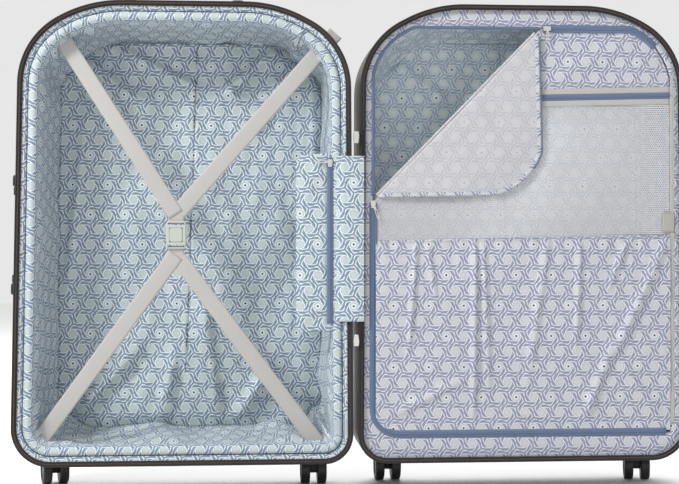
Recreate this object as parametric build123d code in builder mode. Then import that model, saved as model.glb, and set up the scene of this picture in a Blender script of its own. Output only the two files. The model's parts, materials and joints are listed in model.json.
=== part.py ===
"""Hard shell trolley suitcase on four twin-wheel casters, standing open like a book.

Frame: X to the right along the open case, +Y to the back, +Z up, floor at z = 0, origin under the middle.
The rear half (trolley handle, cross straps) is on the left, the front half (zipped divider, lock) on the right.
u is the distance of a point from the hinge-side edge of its half, d its depth behind the rim plane.
"""
from build123d import *

import os
from math import atan2, cos, degrees, radians, sin

os.makedirs("parts", exist_ok=True)

# ---- driving dimensions, mm ----
HINGE_X = 1.33           # hinge line, set so that the whole stands centred on the origin
RIM_Y = -74.275           # rim plane, same reason
HALF_W, HALF_H = 528, 719
RIM_Z = 43               # lower edge of the shells above the floor
EDGE_GAP = 3.5           # from the hinge line to each half
DEPTH = 152              # shell depth behind the rim plane
WALL = 2.5
SHELL_D0 = 5.4           # shells start behind the rim; the zip tapes fill the rest
BACK_R = 36              # rounding of the shell's back edges
AXIS_D = -0.4            # hinge axis, just in front of the rim plane
TOP_Z = RIM_Z + HALF_H

ZONE = (236, 552)        # ends of the fabric hinge, where the main zip stops
CASTER_U = (HALF_W - 58, 58)
CASTER_D = 104
WHEEL_R, WHEEL_W, WHEEL_GAP, TRAIL = 24, 14.5, 12, 14
CUP_R, CUP_TOP = 37, 66
PIN_R, FIT = 4, 0.05

TUBE_U, TUBE_D, MID_U = 66, 138, HALF_W / 2
SLOPE = degrees(atan2(12, HALF_H - 60))   # taper of the outer side wall
REAR, FRONT = -1, 1


def at(side, u, d, z):
    return (HINGE_X + side * (EDGE_GAP + u), RIM_Y + d, z)


def rim_plane(d):
    """Vertical plane at depth d: local x is +X, local y is +Z, extrude(amount=-t) goes back."""
    return Plane(origin=(0, RIM_Y + d, 0), x_dir=(1, 0, 0), z_dir=(0, -1, 0))


def half_outline(side):
    """Outline of one half: straight hinge side, big soft top corners, small lower ones, flared outer side."""
    corners = [(0, 0, 45), (HALF_W, 0, 60), (HALF_W - 12, HALF_H - 60, 120), (HALF_W - 120, HALF_H, 200),
               (120, HALF_H, 200), (4, HALF_H - 60, 120)]
    points = [(HINGE_X + side * (EDGE_GAP + u), RIM_Z + v) for u, v, _ in corners]
    with BuildSketch() as s:
        with BuildLine():
            Polyline(*points, close=True)
        make_face()
        for (x, z), (_, _, r) in zip(points, corners):
            fillet(s.vertices().sort_by_distance((x, z, 0))[0], r)
    return s.sketch


OUTLINE = {side: half_outline(side) for side in (REAR, FRONT)}


def tub(side, inset, d0, d1, back_r=0.0):
    """The space inside one half at an inset from its outline, from depth d0 back to d1."""
    with BuildPart() as p:
        with BuildSketch(rim_plane(d0)):
            add(OUTLINE[side])
            if inset:
                offset(amount=-inset, mode=Mode.REPLACE)
        extrude(amount=-(d1 - d0))
        if back_r:
            fillet(p.faces().sort_by(Axis.Y)[-1].edges(), back_r)
    return p.part


def ring(side, inset0, inset1, d0, d1):
    """A flat band that runs all round the outline of one half."""
    with BuildPart() as p:
        add(tub(side, inset0, d0, d1))
        add(tub(side, inset1, d0, d1), mode=Mode.SUBTRACT)
    return p.part


def block(side, u, d, z, r=0.0):
    """A box given by its (low, high) along u, d and z, with its edges along z rounded."""
    with BuildPart() as p:
        with Locations(at(side, sum(u) / 2, sum(d) / 2, sum(z) / 2)):
            Box(u[1] - u[0], d[1] - d[0], z[1] - z[0])
        if r:
            fillet(p.edges().filter_by(Axis.Z), r)
    return p.part


def plate(side, points, d0, d1, r=0.0):
    """A flat plate in the rim plane, given by its corners (u, z)."""
    with BuildPart() as p:
        with BuildSketch(rim_plane(d0)) as s:
            with BuildLine():
                Polyline(*[(HINGE_X + side * (EDGE_GAP + u), z) for u, z in points], close=True)
            make_face()
            if r:
                fillet(s.vertices(), r)
        extrude(amount=-(d1 - d0))
    return p.part


def rod(start, end, r):
    """A round bar between two points."""
    a, b = Vector(*start), Vector(*end)
    with BuildPart() as p:
        with BuildSketch(Plane(origin=a, z_dir=b - a)):
            Circle(r)
        extrude(amount=(b - a).length)
    return p.part


def keep(piece, name):
    piece.part.label = name
    export_step(piece.part, f"parts/{name}.step")


# ---- shells ----
BEZEL = dict(u=(MID_U - 104, MID_U + 104), d=(102, 154), z=(728, 764.5))
LOCK_U, LOCK_D, LOCK_Z = HALF_W - 12 * (400 - RIM_Z) / (HALF_H - 60), 70, 400
LOCK = dict(u=(LOCK_U - 2.3, LOCK_U + 7.4), d=(LOCK_D - 14, LOCK_D + 14), z=(LOCK_Z - 34, LOCK_Z + 34))
HINGE_AXIS = at(REAR, -EDGE_GAP, AXIS_D, 0)


def rib(side, i):
    """One of the low upright ribs that run over the back of a shell and round its top and bottom edges."""
    with BuildPart() as p:
        add(tub(side, -1.5, 96, DEPTH + 1.5, BACK_R + 1.5))
        add(block(side, (MID_U + 58 * i - 12, MID_U + 58 * i + 12), (90, 160), (0, 900)), mode=Mode.INTERSECT)
    return p.part


def shell(side):
    with BuildPart() as p:
        add(tub(side, 0, SHELL_D0, DEPTH, BACK_R))
        for i in range(-3, 4):
            add(rib(side, i))
        add(tub(side, WALL, SHELL_D0 - 1, DEPTH - WALL, BACK_R - WALL), mode=Mode.SUBTRACT)
        for u in CASTER_U:
            x, y, _ = at(side, u, CASTER_D, 0)
            add(rod((x, y, 0), (x, y, CUP_TOP + 3), CUP_R + WALL), mode=Mode.SUBTRACT)
    return p.part


with BuildPart() as rear_shell:
    add(shell(REAR))
    add(block(REAR, **BEZEL, r=6), mode=Mode.SUBTRACT)
keep(rear_shell, "rear_shell")

with BuildPart() as front_shell:
    add(shell(FRONT))
    add(block(FRONT, **LOCK), mode=Mode.SUBTRACT)
keep(front_shell, "front_shell")


# ---- zip tapes round the rims, cut clear of the hinge fabric and of the parked sliders ----
def zip_tape(side):
    with BuildPart() as p:
        add(ring(side, 0, 2.4, 0.2, SHELL_D0))
        add(ring(side, 2.4, 8.6, 3.2, 5.0))
        add(ring(side, 2.6, 5.6, 1.6, 3.2))
        add(block(side, (-2, 40), (-2, 1.3), (ZONE[0] + 6, ZONE[1] - 6)), mode=Mode.SUBTRACT)
        for z in ZONE:
            x, y, _ = HINGE_AXIS
            add(rod((x, y, z - 24), (x, y, z + 24), 6.7), mode=Mode.SUBTRACT)
    return p.part


with BuildPart() as rear_zip_tape:
    add(zip_tape(REAR))
keep(rear_zip_tape, "rear_zip_tape")
with BuildPart() as front_zip_tape:
    add(zip_tape(FRONT))
keep(front_zip_tape, "front_zip_tape")

# ---- fabric hinge: a rear leaf with a round core on the axis, and a front leaf ----
LEAF_Z = (ZONE[0] + 26, ZONE[1] - 26)
with BuildPart() as hinge_strip_rear:
    add(block(REAR, (-EDGE_GAP + 0.6, 29), (-0.1, 0.9), LEAF_Z))
    add(rod(HINGE_AXIS[:2] + (LEAF_Z[0],), HINGE_AXIS[:2] + (LEAF_Z[1],), 1.2))
keep(hinge_strip_rear, "hinge_strip_rear")
with BuildPart() as hinge_strip_front:
    add(block(FRONT, (-EDGE_GAP + 1.6, 9), (-0.1, 0.9), LEAF_Z))
keep(hinge_strip_front, "hinge_strip_front")


# ---- linings: thin skins that step in over whatever reaches into the shell ----
def lining(side, back, bumps):
    def space(grow):
        with BuildPart() as p:
            add(tub(side, WALL + 0.5 + grow, 5.6 - (1 if grow else 0), back - grow, 34 - grow))
            for u in CASTER_U:
                x, y, _ = at(side, u, CASTER_D, 0)
                add(rod((x, y, 0), (x, y, CUP_TOP + 3.5 + grow), CUP_R + 3 + grow), mode=Mode.SUBTRACT)
            for b in bumps:
                (u0, u1), (d0, d1), (z0, z1) = b["u"], b["d"], b["z"]
                g = 0.5 + grow
                add(block(side, (u0 - g, u1 + g), (d0 - g, d1 + g), (z0 - g, z1 + g)), mode=Mode.SUBTRACT)
        return p.part

    with BuildPart() as p:
        add(space(0))
        add(space(1.2), mode=Mode.SUBTRACT)
    return p.part


with BuildPart() as rear_lining:
    add(lining(REAR, 130, [BEZEL]))
keep(rear_lining, "rear_lining")
with BuildPart() as front_lining:
    add(lining(FRONT, 148.8, []))
keep(front_lining, "front_lining")

# ---- cross straps and their buckle, in front of the rear packing space ----
BUCKLE_U, BUCKLE_Z = 276, 400
STRAP_W, STRAP_D = 25, 22.4


def band(ends, d0, d1, width):
    """A straight strap between two points (u, z)."""
    (ua, za), (ub, zb) = ends
    with BuildPart() as p:
        xa, xb = HINGE_X - EDGE_GAP - ua, HINGE_X - EDGE_GAP - ub
        turn = degrees(atan2(zb - za, xb - xa))
        with BuildSketch(rim_plane(d0)):
            with Locations(Location(((xa + xb) / 2, (za + zb) / 2, 0), (0, 0, turn))):
                Rectangle(((xb - xa) ** 2 + (zb - za) ** 2) ** 0.5, width)
        extrude(amount=-(d1 - d0))
    return p.part


def straps(low):
    s = -1 if low else 1
    tip = (BUCKLE_U, BUCKLE_Z + s * 30)
    ends = [(484, 84), (62, 82)] if low else [(450, 703), (40, 702)]
    with BuildPart() as p:
        for e in ends:
            add(band((e, tip), STRAP_D, STRAP_D + 1.2, STRAP_W))
        add(band(((BUCKLE_U, BUCKLE_Z + s * 17.2), (BUCKLE_U, BUCKLE_Z + s * 34)), STRAP_D, STRAP_D + 1.2, STRAP_W))
    return p.part


with BuildPart() as straps_upper:
    add(straps(False))
keep(straps_upper, "straps_upper")
with BuildPart() as straps_lower:
    add(straps(True))
keep(straps_lower, "straps_lower")

with BuildPart() as buckle_body:
    add(block(REAR, (BUCKLE_U - 15.5, BUCKLE_U + 15.5), (18.6, 27.6), (BUCKLE_Z - 22, BUCKLE_Z + 22)))
    fillet(buckle_body.edges().filter_by(Axis.Y), 5)
    fillet(buckle_body.faces().sort_by(Axis.Y)[0].edges(), 1.6)
    for s in (-1, 1):
        add(block(REAR, (BUCKLE_U - 13, BUCKLE_U + 13), (10, 40), sorted((BUCKLE_Z + s * 15.2, BUCKLE_Z + s * 19))),
            mode=Mode.SUBTRACT)
        add(block(REAR, (BUCKLE_U - 13, BUCKLE_U + 13), (STRAP_D - 0.3, STRAP_D + 1.5),
                  sorted((BUCKLE_Z + s * 17, BUCKLE_Z + s * 30))), mode=Mode.SUBTRACT)
    add(block(REAR, (BUCKLE_U - 10.3, BUCKLE_U + 10.3), (10, 25), (BUCKLE_Z - 11.3, BUCKLE_Z + 11.3)),
        mode=Mode.SUBTRACT)
keep(buckle_body, "buckle_body")
with BuildPart() as buckle_button:
    add(block(REAR, (BUCKLE_U - 10, BUCKLE_U + 10), (18, 22), (BUCKLE_Z - 11, BUCKLE_Z + 11)))
    fillet(buckle_button.edges().filter_by(Axis.Y), 3.5)
    fillet(buckle_button.faces().sort_by(Axis.Y)[0].edges(), 1.2)
keep(buckle_button, "buckle_button")

# ---- flat pocket beside the hinge, with its zip ----
POCKET_ZIP_U = 37
with BuildPart() as hinge_pocket:
    add(plate(REAR, [(14, 246), (90, 250), (90, 524), (14, 529)], 6.4, 10.4, 6))
    fillet(hinge_pocket.faces().sort_by(Axis.Y)[0].edges(), 1.5)
keep(hinge_pocket, "hinge_pocket")
with BuildPart() as hinge_pocket_zip:
    add(block(REAR, (POCKET_ZIP_U - 5, POCKET_ZIP_U + 5), (5.4, 6.4), (262, 520)))
    add(block(REAR, (POCKET_ZIP_U - 1.8, POCKET_ZIP_U + 1.8), (4.4, 5.4), (262, 520)))
keep(hinge_pocket_zip, "hinge_pocket_zip")


# ---- zip sliders: a wedge-shaped body, with its pull in one piece or hung between two cheeks ----
def seat(side, u, d, z, turn):
    """Frame on the rim plane: local z faces the opening, turn is the angle of local x from +X."""
    return Plane(origin=at(side, u, d, z), x_dir=(cos(radians(turn)), 0, sin(radians(turn))),
                 z_dir=(0, -1, 0)).location


def slider(width, length, height):
    """Slider body on the XY plane, length along X, tapered to its nose at -X."""
    with BuildPart() as p:
        with BuildSketch() as s:
            with BuildLine():
                Polyline((-length / 2, -width * 0.36), (length * 0.1, -width / 2), (length / 2, -width * 0.4),
                         (length / 2, width * 0.4), (length * 0.1, width / 2), (-length / 2, width * 0.36), close=True)
            make_face()
            fillet(s.vertices(), width * 0.12)
        extrude(amount=height)
        fillet(p.faces().sort_by(Axis.Z)[-1].edges(), 0.5)
    return p.part


PULL_PIN_R = 0.85


def pull(length, width, thick, pin):
    """Flat pull along +X from its pivot at the origin, with a cross pin there and a long hole."""
    tail = -PULL_PIN_R * 0.5              # inside the pin, so it swings clear of the slider
    with BuildPart() as p:
        with BuildSketch(Plane.XY.offset(-thick / 2)) as s:
            with BuildLine():
                Polyline((tail, -width * 0.3), (length * 0.35, -width * 0.3), (length, -width / 2),
                         (length, width / 2), (length * 0.35, width * 0.3), (tail, width * 0.3), close=True)
            make_face()
            fillet(s.vertices(), width * 0.14)
            with Locations((length * 0.62, 0)):
                SlotOverall(length * 0.4, width * 0.35, mode=Mode.SUBTRACT)
        extrude(amount=thick)
        add(rod((0, -pin / 2, 0), (0, pin / 2, 0), PULL_PIN_R))
    return p.part


for name, z, turn in (("main_slider_upper", ZONE[1], 90), ("main_slider_lower", ZONE[0], -90)):
    with BuildPart() as main_slider:
        add(slider(9, 18, 7).moved(seat(REAR, -EDGE_GAP, AXIS_D + 3.5, z, turn)))
        add(pull(13, 6.4, 1.2, 3).moved(seat(REAR, -EDGE_GAP, AXIS_D - 4.2, z - 6 * turn / 90, turn)))
    keep(main_slider, name)

with BuildPart() as pocket_slider:
    add(slider(8, 12, 1.9).moved(seat(REAR, POCKET_ZIP_U, 4.3, 512, 90)))
    add(pull(20, 6, 1.2, 3).moved(seat(REAR, POCKET_ZIP_U, 2.0, 514, 180)))
keep(pocket_slider, "pocket_slider")

# ---- zipped divider of the front half ----
A, B = (26, 459), (283, 722)     # ends of the line where its open corner is folded back, (u, z)
PANEL_D = 11.0
FOLD_D, FOLD_R = PANEL_D - 2.6, 1.3      # axis and radius of the rolled fold
BIND_U = 498
MESH_FOOT = 398                  # where the mesh meets the gathered pocket


def mesh_zip_z(u):
    return 614 + 8 * (u - 188) / 310


def area(grow, d0, d1):
    """The closed line of the divider's zip, a rounded rectangle inside the outline, grown outwards."""
    x0 = HINGE_X + EDGE_GAP
    with BuildPart() as p:
        with BuildSketch(rim_plane(d0)) as s:
            add(OUTLINE[FRONT])
            offset(amount=-18, mode=Mode.REPLACE)
            with Locations((x0 + (24 + 510) / 2, (88 + 726) / 2)):
                Rectangle(510 - 24, 726 - 88, mode=Mode.INTERSECT)
            fillet(s.vertices().sort_by_distance((x0 + 24, RIM_Y + d0, 88))[0], 40)
            if grow:
                offset(amount=grow, mode=Mode.REPLACE)
        extrude(amount=-(d1 - d0))
    return p.part


def corner(shift, d0=0.0, d1=30.0):
    """Everything above and left of the fold line, moved away from it by shift."""
    du, dz = B[0] - A[0], B[1] - A[1]
    n = (du * du + dz * dz) ** 0.5
    ou, oz = -dz / n * shift, du / n * shift
    a, b = (A[0] - du + ou, A[1] - dz + oz), (B[0] + du + ou, B[1] + dz + oz)
    return plate(FRONT, [a, b, (a[0] - 500, b[1] + 300)], d0, d1)


with BuildPart() as divider_border:
    add(tub(FRONT, 5.0, PANEL_D - 0.6, PANEL_D + 0.6))
    add(area(0, PANEL_D - 2, PANEL_D + 2), mode=Mode.SUBTRACT)
keep(divider_border, "divider_border")

with BuildPart() as closed_zip:
    add(area(6, PANEL_D - 1.6, PANEL_D - 0.6))
    add(area(-6, PANEL_D - 3, PANEL_D + 3), mode=Mode.SUBTRACT)
with BuildPart() as closed_coil:
    add(area(1.7, PANEL_D - 2.5, PANEL_D - 1.6))
    add(area(-1.7, PANEL_D - 3, PANEL_D), mode=Mode.SUBTRACT)
with BuildPart() as open_tape:
    add(area(5, PANEL_D - 1.6, PANEL_D - 0.6))
    add(area(1, PANEL_D - 3, PANEL_D + 3), mode=Mode.SUBTRACT)
    add(corner(-1), mode=Mode.INTERSECT)
with BuildPart() as divider_zip:
    add(closed_zip.part)
    add(closed_coil.part)
    add(corner(-FOLD_R - 0.3), mode=Mode.SUBTRACT)
    add(block(FRONT, (474, 600), (0, 30), (150, 900)), mode=Mode.SUBTRACT)
    add(block(FRONT, (494, 600), (0, 30), (0, 900)), mode=Mode.SUBTRACT)
    add(open_tape.part)
keep(divider_zip, "divider_zip")


def panel(low, high, d0, d1, inset=6.3):
    """The part of the divider between two heights, each given at its left and right end."""
    with BuildPart() as p:
        add(area(-inset, d0, d1))
        add(corner(-FOLD_R - 0.3), mode=Mode.SUBTRACT)
        add(plate(FRONT, [(0, low[0]), (BIND_U, low[1]), (BIND_U, high[1]), (0, high[0])], d0 - 1, d1 + 1),
            mode=Mode.INTERSECT)
    return p.part


def along_mesh_zip(lift):
    return (mesh_zip_z(0) + lift, mesh_zip_z(BIND_U) + lift)


with BuildPart() as divider_top_panel:
    add(panel(along_mesh_zip(6), (900, 900), PANEL_D, PANEL_D + 1.2))
keep(divider_top_panel, "divider_top_panel")
with BuildPart() as mesh_panel:
    add(panel((MESH_FOOT - 6, MESH_FOOT + 4), along_mesh_zip(-6), PANEL_D, PANEL_D + 1.0))
keep(mesh_panel, "mesh_panel")
with BuildPart() as gathered_pocket:
    add(panel((60, 60), (MESH_FOOT - 7, MESH_FOOT + 3), PANEL_D - 3.4, PANEL_D + 1.2))
    fillet(gathered_pocket.faces().sort_by(Axis.Y)[0].edges(), 1.6)
keep(gathered_pocket, "gathered_pocket")
with BuildPart() as mesh_zip:
    add(panel(along_mesh_zip(-5), along_mesh_zip(5), PANEL_D - 1, PANEL_D))
    add(panel(along_mesh_zip(-1.7), along_mesh_zip(1.7), PANEL_D - 1.8, PANEL_D - 1))
keep(mesh_zip, "mesh_zip")
with BuildPart() as divider_binding:
    add(panel(along_mesh_zip(5.3), along_mesh_zip(14), PANEL_D - 1, PANEL_D))
    add(panel(along_mesh_zip(-14), along_mesh_zip(-5.3), PANEL_D - 1, PANEL_D))
    add(block(FRONT, (BIND_U + 0.3, 506), (PANEL_D - 1.7, PANEL_D - 0.7), (100, 655)))
    add(block(FRONT, (486, 506), (PANEL_D - 2.5, PANEL_D - 1.7), (404, 437)))
keep(divider_binding, "divider_binding")

with BuildPart() as mesh_slider:
    add(slider(8, 12, 1.5).moved(seat(FRONT, 202, PANEL_D - 1.9, mesh_zip_z(202), 1.5)))
    add(pull(18, 6, 1.0, 3).moved(seat(FRONT, 206, PANEL_D - 2.8, mesh_zip_z(206), 1.5)))
keep(mesh_slider, "mesh_slider")

# the folded-back corner, made closed and turned over on its fold line, and the cloth rolled along that line
FOLD_END = 0.02                          # share of the line left free at each end of the roll
with BuildPart() as flap_closed:
    add(area(-0.8, FOLD_D + 1.4, FOLD_D + 2.6))
    add(corner(0.5), mode=Mode.INTERSECT)
fold_axis = Axis(at(FRONT, A[0], FOLD_D, A[1]), (B[0] - A[0], 0, B[1] - A[1]))
with BuildPart() as divider_flap:
    add(flap_closed.part.rotate(fold_axis, 180))
    add(rod(*[at(FRONT, A[0] + (B[0] - A[0]) * t, FOLD_D, A[1] + (B[1] - A[1]) * t)
              for t in (FOLD_END, 1 - FOLD_END)], FOLD_R))
keep(divider_flap, "divider_flap")

# two sliders on the divider's zip, each with a hinged pull
COIL_D = PANEL_D - 2.6
SLIDER_T = 1.8
for name, u, z, turn, aim, length in (("top", 300, 726, 180, -90, 19), ("low", 24, 448, 90, -68, 24)):
    with BuildPart() as divider_slider:
        add(slider(8, 12, SLIDER_T).moved(seat(FRONT, u, COIL_D, z, turn)))
        bail = seat(FRONT, u, COIL_D - SLIDER_T, z, aim)
        with Locations(*[bail * Location((0, y, 0.9)) for y in (-3.4, 3.4)]):
            Box(3.6, 1.4, 2.2)
        with Locations(bail * Location((0, 0, 1), (90, 0, 0))):
            Cylinder(PULL_PIN_R + FIT, 20, mode=Mode.SUBTRACT)
    keep(divider_slider, f"divider_slider_{name}")
    with BuildPart() as divider_pull:
        add(pull(length, 6, 1.2, 7.4).moved(seat(FRONT, u, COIL_D - SLIDER_T - 1, z, aim)))
    keep(divider_pull, f"divider_pull_{name}")

# ---- combination lock in the outer side of the front half ----
DIAL_R, DIAL_T, DIAL_U = 5.2, 6, LOCK_U + 3.2
DIAL_Z = [LOCK_Z + 4 + 10 * i for i in (-1, 0, 1)]
BUTTON = dict(u=(LOCK_U + 2.4, LOCK_U + 8), d=(LOCK_D - 6, LOCK_D + 6), z=(LOCK_Z - 26, LOCK_Z - 14))
with BuildPart() as lock_body:
    add(block(FRONT, **LOCK))
    fillet(lock_body.faces().sort_by(Axis.X)[-1].edges(), 2.5)
    for z in DIAL_Z:
        x, y, _ = at(FRONT, DIAL_U, LOCK_D, z)
        add(rod((x, y, z - DIAL_T / 2 - 0.4), (x, y, z + DIAL_T / 2 + 0.4), DIAL_R + 0.3), mode=Mode.SUBTRACT)
    add(rod((x, y, LOCK_Z - 16), (x, y, LOCK_Z + 26), 1.5))
    x0, x1 = BUTTON["u"][0] - 1.8, BUTTON["u"][1] + 5
    add(block(FRONT, (x0, x1), (BUTTON["d"][0] - 0.3, BUTTON["d"][1] + 0.3),
              (BUTTON["z"][0] - 0.3, BUTTON["z"][1] + 0.3)), mode=Mode.SUBTRACT)
keep(lock_body, "lock_body")
for i, z in enumerate(DIAL_Z):
    with BuildPart() as lock_dial:
        x, y, _ = at(FRONT, DIAL_U, LOCK_D, z)
        add(rod((x, y, z - DIAL_T / 2), (x, y, z + DIAL_T / 2), DIAL_R))
        for k in range(10):
            a = radians(36 * k + 18)
            cx, cy = x + (DIAL_R + 0.35) * cos(a), y + (DIAL_R + 0.35) * sin(a)
            add(rod((cx, cy, z - DIAL_T), (cx, cy, z + DIAL_T), 0.7), mode=Mode.SUBTRACT)
        add(rod((x, y, z - DIAL_T), (x, y, z + DIAL_T), 1.5 + FIT), mode=Mode.SUBTRACT)
    keep(lock_dial, f"lock_dial_{i + 1}")
with BuildPart() as lock_button:
    add(block(FRONT, **BUTTON))
    fillet(lock_button.faces().sort_by(Axis.X)[-1].edges(), 1)
keep(lock_button, "lock_button")


# ---- fold-flat carry handles: a U that pivots on pins between two mounts ----
HANDLE_L, ARM, HANDLE_T, PIVOT_H = 150, 28, 6.4, 5.2


def handle_mount(s):
    with BuildPart() as p:
        with Locations((s * (HANDLE_L / 2 + 9.3), 1, 0)):
            Box(18, 22, 9.4, align=(Align.CENTER, Align.CENTER, Align.MIN))
        fillet(p.edges().filter_by(Axis.Z), 5)
        fillet(p.faces().sort_by(Axis.Z)[-1].edges(), 2)
        add(rod((s * (HANDLE_L / 2 - 4), 0, PIVOT_H), (s * (HANDLE_L / 2 + 12), 0, PIVOT_H), 2.5))
    return p.part


def handle_mounts():
    """Local frame: x along the handle, y the way it folds, z away from the shell."""
    with BuildPart() as p:
        for s in (-1, 1):
            add(handle_mount(s))
    return p.part


def handle_grip():
    with BuildPart() as p:
        with BuildSketch(Plane.XY.offset(PIVOT_H - HANDLE_T / 2)) as s:
            with Locations((0, (ARM + 10 - 3.4) / 2)):
                Rectangle(HANDLE_L, ARM + 10 + 3.4)
            fillet(s.vertices().sort_by(Axis.Y)[-2:], 14)
            with Locations((0, ARM / 2 - 9)):
                Rectangle(HANDLE_L - 26, ARM + 12, mode=Mode.SUBTRACT)
        extrude(amount=HANDLE_T)
        fillet(p.edges().filter_by(Axis.Y), 2)
        fillet(p.edges().filter_by(Axis.X).filter_by_position(Axis.Y, 0, 50), 1.5)
        for s in (-1, 1):
            add(rod((s * (HANDLE_L / 2 - 4.4), 0, PIVOT_H), (s * (HANDLE_L / 2 + 1), 0, PIVOT_H), 2.5 + FIT),
                mode=Mode.SUBTRACT)
    return p.part


TOP_SEAT = Location(at(REAR, MID_U, 58, TOP_Z))
SIDE_U = HALF_W - 12 * (400 - RIM_Z) / (HALF_H - 60)
SIDE_SEAT = Plane(origin=at(REAR, SIDE_U, 50, 400), x_dir=(sin(radians(SLOPE)), 0, cos(radians(SLOPE))),
                  z_dir=(-cos(radians(SLOPE)), 0, sin(radians(SLOPE)))).location
with BuildPart() as handle_mounts_pair:
    add(handle_mounts().moved(TOP_SEAT))
    add(handle_mounts().moved(SIDE_SEAT))
keep(handle_mounts_pair, "handle_mounts")
for name, seat_at in (("top_handle", TOP_SEAT), ("side_handle", SIDE_SEAT)):
    with BuildPart() as carry_handle:
        add(handle_grip().moved(seat_at))
    keep(carry_handle, name)


# ---- trolley handle: bezel, fixed tubes, middle tubes, inner tubes with grip and button ----
def tube_pair(width, depth, wall, z0, z1, r):
    with BuildPart() as p:
        with BuildSketch(Plane.XY.offset(z0)):
            with Locations(at(REAR, MID_U - TUBE_U, TUBE_D, 0)[:2], at(REAR, MID_U + TUBE_U, TUBE_D, 0)[:2]):
                RectangleRounded(width, depth, r)
                if wall:
                    RectangleRounded(width - 2 * wall, depth - 2 * wall, r - wall, mode=Mode.SUBTRACT)
        extrude(amount=z1 - z0)
    return p.part


with BuildPart() as trolley_bezel:
    add(block(REAR, **BEZEL, r=6))
    fillet(trolley_bezel.faces().sort_by(Axis.Z)[-1].edges().sort_by(Axis.Y)[-1], 13)
    add(block(REAR, (MID_U - 99, MID_U + 99), (106.5, 149.5), (734, 800), r=5), mode=Mode.SUBTRACT)
    add(tube_pair(17.6, 11.6, 0, 700, 760, 3), mode=Mode.SUBTRACT)
keep(trolley_bezel, "trolley_bezel")
with BuildPart() as trolley_outer_tubes:
    add(tube_pair(20, 14, 1.2, 96, BEZEL["z"][0], 4))
keep(trolley_outer_tubes, "trolley_outer_tubes")
with BuildPart() as trolley_middle_tubes:
    add(tube_pair(17, 11, 1.1, 150, 738, 2.7))
keep(trolley_middle_tubes, "trolley_middle_tubes")
with BuildPart() as trolley_inner_tubes:
    add(tube_pair(14.2, 8.2, 1, 204, 742, 1.6))
keep(trolley_inner_tubes, "trolley_inner_tubes")
TROLLEY_BUTTON = dict(u=(MID_U - 14, MID_U + 14), d=(TUBE_D - 6, TUBE_D + 6))
with BuildPart() as trolley_grip:
    add(block(REAR, (MID_U - 94, MID_U + 94), (126.5, 148.5), (742, 763.5), r=8))
    fillet(trolley_grip.faces().sort_by(Axis.Z)[-1].edges(), 5)
    add(block(REAR, *[(lo - 0.3, hi + 0.3) for lo, hi in TROLLEY_BUTTON.values()], (756, 800), r=5.3),
        mode=Mode.SUBTRACT)
keep(trolley_grip, "trolley_grip")
with BuildPart() as trolley_button:
    add(block(REAR, **TROLLEY_BUTTON, z=(759.5, 765), r=5))
    fillet(trolley_button.faces().sort_by(Axis.Z)[-1].edges(), 1)
keep(trolley_button, "trolley_button")


# ---- casters: a cup in the shell with a swivel pin, a fork, and two wheels on one axle ----
def fork():
    """Swivel axis on the Z axis, wheels trailing towards +Y."""
    axle_z, half = WHEEL_R, WHEEL_GAP / 2 - 0.5
    with BuildPart() as p:
        with BuildSketch(Plane.YZ.offset(-half)):
            with BuildLine():
                Polyline((-15, 52), (-13, 44), (TRAIL - 9, 19), (TRAIL - 4, 17), (TRAIL + 4, 17), (TRAIL + 9, 22),
                         (19, 44), (19, 52), close=True)
            make_face()
        extrude(amount=2 * half)
        fillet(p.edges().filter_by(Axis.X).sort_by(Axis.Z)[:4], 2)
        add(rod((0, 0, 50), (0, 0, CUP_TOP - 0.4), 20))
        fillet(p.faces().sort_by(Axis.Z)[-1].edges(), 3)
        add(rod((0, 0, 51), (0, 0, CUP_TOP + 1), PIN_R + FIT), mode=Mode.SUBTRACT)
        reach = WHEEL_GAP / 2 + WHEEL_W - 2.3
        add(rod((-reach, TRAIL, axle_z), (reach, TRAIL, axle_z), 3))
    return p.part


def wheel(s):
    """One wheel, s = -1 or 1 for its side of the fork."""
    x0, x1 = s * WHEEL_GAP / 2, s * (WHEEL_GAP / 2 + WHEEL_W)
    with BuildPart() as p:
        add(rod((x0, TRAIL, WHEEL_R), (x1, TRAIL, WHEEL_R), WHEEL_R))
        fillet(p.edges(), 2.2)
        add(rod((x1 - s * 1.2, TRAIL, WHEEL_R), (x1 + s, TRAIL, WHEEL_R), 17), mode=Mode.SUBTRACT)
        add(rod((x0 - s, TRAIL, WHEEL_R), (x1 - s * 2, TRAIL, WHEEL_R), 3 + FIT), mode=Mode.SUBTRACT)
        for k in range(5):
            a = radians(72 * k)
            y, z = TRAIL + 11 * cos(a), WHEEL_R + 11 * sin(a)
            add(rod((x1 - s * 3, y, z), (x1, y, z), 2.6), mode=Mode.SUBTRACT)
    return p.part


CASTERS = [(REAR, CASTER_U[0], 14), (REAR, CASTER_U[1], 180), (FRONT, CASTER_U[1], 0), (FRONT, CASTER_U[0], 168)]
for i, (side, u, turn) in enumerate(CASTERS, 1):
    x, y, _ = at(side, u, CASTER_D, 0)
    with BuildPart() as housing:
        add(rod((x, y, RIM_Z), (x, y, CUP_TOP + 3), CUP_R + WALL - 0.1))
        add(tub(side, 0, SHELL_D0, DEPTH, BACK_R), mode=Mode.INTERSECT)
        add(rod((x, y, 0), (x, y, CUP_TOP), CUP_R), mode=Mode.SUBTRACT)
        add(rod((x, y, 51.4), (x, y, CUP_TOP + 1), PIN_R))
    keep(housing, f"caster_{i}_housing")
    stand = Location((x, y, 0), (0, 0, turn))
    with BuildPart() as caster_fork:
        add(fork().moved(stand))
    keep(caster_fork, f"caster_{i}_fork")
    for name, s in (("left", -1), ("right", 1)):
        with BuildPart() as caster_wheel:
            add(wheel(s).moved(stand))
        keep(caster_wheel, f"caster_{i}_wheel_{name}")
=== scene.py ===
"""Looks for the open hard shell suitcase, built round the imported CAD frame. Metres, +X right, +Z up."""
import json
import math

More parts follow.
